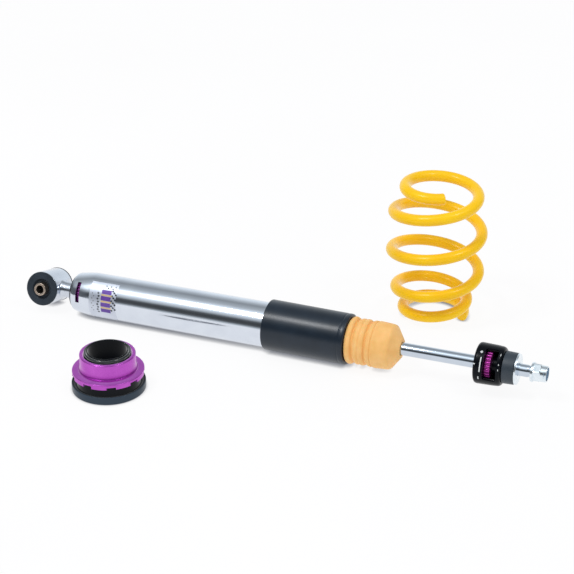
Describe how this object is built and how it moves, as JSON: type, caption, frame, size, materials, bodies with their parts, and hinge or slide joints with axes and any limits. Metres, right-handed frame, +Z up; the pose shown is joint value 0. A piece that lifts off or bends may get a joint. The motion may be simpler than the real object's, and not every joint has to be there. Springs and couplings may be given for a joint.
{
  "type": "coilover",
  "caption": "Rear coilover kit of separate pieces: a damper with lower eye, bump stop and top pin, a barrel-shaped coil spring, and a threaded spring height adjuster.",
  "frame": {"origin": "centre of the bounding box on the floor the three assemblies rest on", "axes": "+X from the damper's lower eye to its top pin, +Y from the height adjuster towards the spring, +Z up"},
  "size_m": [0.5418, 0.3398, 0.147],
  "materials": {
    "chrome_shell": "polished",
    "chrome_body": "polished",
    "bushing_rubber": "matte",
    "zinc_plate": "bright zinc plate",
    "anodised_purple": "satin anodised",
    "valve_steel": "machined",
    "sintered_iron": "sintered",
    "seal_rubber": "matte",
    "piston_band": "matte",
    "rod_chrome": "mirror",
    "needle_alloy": "machined",
    "sleeve_plastic": "satin",
    "bump_foam": "closed-cell foam, satin skin",
    "gloss_black": "gloss",
    "dial_magenta": "anodised",
    "spacer_grey": "matte",
    "nylon_blue": "satin",
    "yellow_coat": "gloss powder coat"
  },
  "bodies": {
    "barrel": {"outer_tube": "chrome_body", "bottom_cap": "chrome_body", "eye_neck": "chrome_shell", "eye_shell": "chrome_shell", "bushing_rubber": "bushing_rubber", "base_valve": "valve_steel", "compression_shims": "valve_steel", "inner_cylinder": "valve_steel", "rod_guide": "sintered_iron", "rod_seal": "seal_rubber"},
    "bushing_sleeve": {"bushing_inner_sleeve": "zinc_plate"},
    "compression_dial": {"compression_wheel": "anodised_purple"},
    "compression_screw": {"compression_needle": "valve_steel"},
    "rod": {"piston_rod": "rod_chrome", "piston": "sintered_iron", "piston_band": "piston_band", "rebound_shims": "valve_steel", "piston_nut": "valve_steel", "top_out_bumper": "seal_rubber", "adjuster_housing": "gloss_black", "spacer_sleeve": "spacer_grey", "support_washer": "zinc_plate", "lock_nut": "zinc_plate", "nut_insert": "nylon_blue"},
    "rebound_dial": {"rebound_wheel": "dial_magenta"},
    "rebound_screw": {"rebound_needle": "needle_alloy"},
    "bump_assembly": {"bump_stop": "bump_foam", "dust_sleeve": "sleeve_plastic"},
    "spring": {"coil_spring": "yellow_coat"},
    "adjuster_base": {"perch_base": "gloss_black", "perch_threaded_sleeve": "gloss_black", "perch_sleeve_lip": "gloss_black"},
    "adjuster_hub": {"perch_hub": "anodised_purple"},
    "adjuster_ring": {"perch_adjuster_ring": "anodised_purple"}
  },
  "joints": [
    {"name": "rod_stroke", "type": "slide", "parent": "barrel", "child": "rod", "axis": [0.9999, 0, 0.0131], "range_m": [-0.061, 0], "stiffness_N_per_m": 100, "springref_m": 0.15},
    {"name": "bump_stop_slide", "type": "slide", "parent": "barrel", "child": "bump_assembly", "axis": [0.9999, 0, 0.0131], "range_m": [0, 0.012]},
    {"name": "bushing_twist", "type": "hinge", "parent": "barrel", "child": "bushing_sleeve", "pos_m": [-0.25334, -0.00765, 0.02178], "axis": [-0.0037, -0.9583, 0.2857], "range_deg": [-15, 15], "stiffness_Nm_per_rad": 20},
    {"name": "compression_dial_turn", "type": "hinge", "parent": "barrel", "child": "compression_dial", "pos_m": [-0.21074, -0.00765, 0.02234], "axis": [0.9999, 0, 0.0131], "range_deg": [0, 348]},
    {"name": "compression_needle_travel", "type": "slide", "parent": "barrel", "child": "compression_screw", "axis": [0.9999, 0, 0.0131], "range_m": [0, 0.002]},
    {"name": "rebound_dial_turn", "type": "hinge", "parent": "rod", "child": "rebound_dial", "pos_m": [0.21602, -0.00765, 0.02793], "axis": [0.9999, 0, 0.0131], "range_deg": [0, 348]},
    {"name": "rebound_needle_travel", "type": "slide", "parent": "rod", "child": "rebound_screw", "axis": [-0.9999, 0, -0.0131], "range_m": [0, 0.002]},
    {"name": "spring_lift_off", "type": "slide", "parent": "barrel", "child": "spring", "axis": [0, 0, 1], "range_m": [0, 0.1]},
    {"name": "adjuster_lift_off", "type": "slide", "parent": "barrel", "child": "adjuster_base", "axis": [0, 0, 1], "range_m": [0, 0.1]},
    {"name": "adjuster_hub_travel", "type": "slide", "parent": "adjuster_base", "child": "adjuster_hub", "axis": [0, 0, 1], "range_m": [0, 0.008]},
    {"name": "adjuster_ring_turn", "type": "hinge", "parent": "adjuster_hub", "child": "adjuster_ring", "pos_m": [-0.12064, -0.13475, 0.0177], "axis": [0, 0, 1], "range_deg": [0, 1440]}
  ],
  "couplings": [
    {"joint": "compression_needle_travel", "follows": "compression_dial_turn", "m_per_rad": 0.000329},
    {"joint": "rebound_needle_travel", "follows": "rebound_dial_turn", "m_per_rad": 0.000329},
    {"joint": "adjuster_hub_travel", "follows": "adjuster_ring_turn", "m_per_rad": 0.000318}
  ]
}
